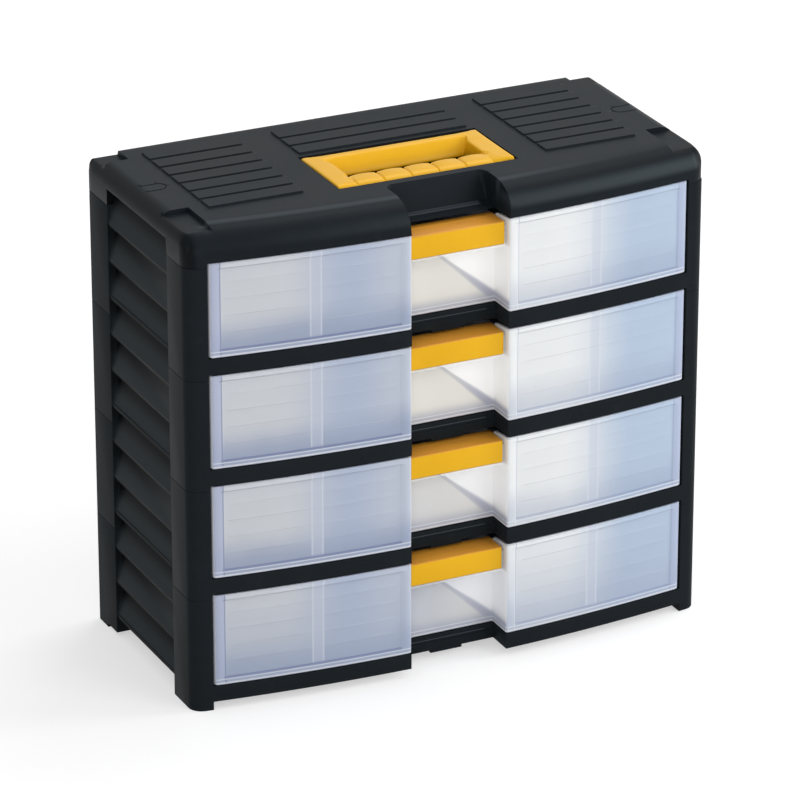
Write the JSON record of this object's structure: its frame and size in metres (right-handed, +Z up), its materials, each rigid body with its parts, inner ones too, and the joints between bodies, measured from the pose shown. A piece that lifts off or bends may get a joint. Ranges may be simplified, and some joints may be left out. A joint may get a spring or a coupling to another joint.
{
  "type": "parts bin cabinet",
  "caption": "Portable small-parts cabinet: stacked rows of clear bow-fronted divided drawers with pulls, black louvred frames and a cover with a fold-flat carry handle.",
  "frame": {"origin": "centre of the footprint, on the plane that the feet stand on", "axes": "+Z up, drawers open towards -Y, +X to the right when facing the drawers"},
  "size_m": [0.385, 0.18, 0.3461],
  "materials": {
    "black_plastic": "satin moulded polypropylene with a fine grain",
    "yellow_plastic": "smooth moulded yellow",
    "clear_plastic": "translucent clear polypropylene, slightly hazy",
    "divider_plastic": "translucent clear polypropylene, slightly hazy"
  },
  "bodies": {
    "cabinet": {"frame_1": "black_plastic", "frame_2": "black_plastic", "frame_3": "black_plastic", "frame_4": "black_plastic", "top_cover": "black_plastic"},
    "carry_handle": {"carry_handle": "yellow_plastic"},
    "drawer_1": {"drawer_tray_1": "clear_plastic", "drawer_pull_1": "yellow_plastic", "divider_1_left": "divider_plastic", "divider_1_centre_left": "divider_plastic", "divider_1_centre_right": "divider_plastic", "divider_1_right": "divider_plastic"},
    "drawer_2": {"drawer_tray_2": "clear_plastic", "drawer_pull_2": "yellow_plastic", "divider_2_left": "divider_plastic", "divider_2_centre_left": "divider_plastic", "divider_2_centre_right": "divider_plastic", "divider_2_right": "divider_plastic"},
    "drawer_3": {"drawer_tray_3": "clear_plastic", "drawer_pull_3": "yellow_plastic", "divider_3_left": "divider_plastic", "divider_3_centre_left": "divider_plastic", "divider_3_centre_right": "divider_plastic", "divider_3_right": "divider_plastic"},
    "drawer_4": {"drawer_tray_4": "clear_plastic", "drawer_pull_4": "yellow_plastic", "divider_4_left": "divider_plastic", "divider_4_centre_left": "divider_plastic", "divider_4_centre_right": "divider_plastic", "divider_4_right": "divider_plastic"}
  },
  "joints": [
    {"name": "handle_lift", "type": "hinge", "parent": "cabinet", "child": "carry_handle", "pos_m": [0, 0.01748, 0.3395], "axis": [-1, 0, 0], "range_deg": [0, 90]},
    {"name": "drawer_1_slide", "type": "slide", "parent": "cabinet", "child": "drawer_1", "axis": [0, -1, 0], "range_m": [0, 0.148]},
    {"name": "drawer_2_slide", "type": "slide", "parent": "cabinet", "child": "drawer_2", "axis": [0, -1, 0], "range_m": [0, 0.148]},
    {"name": "drawer_3_slide", "type": "slide", "parent": "cabinet", "child": "drawer_3", "axis": [0, -1, 0], "range_m": [0, 0.148]},
    {"name": "drawer_4_slide", "type": "slide", "parent": "cabinet", "child": "drawer_4", "axis": [0, -1, 0], "range_m": [0, 0.148]}
  ]
}
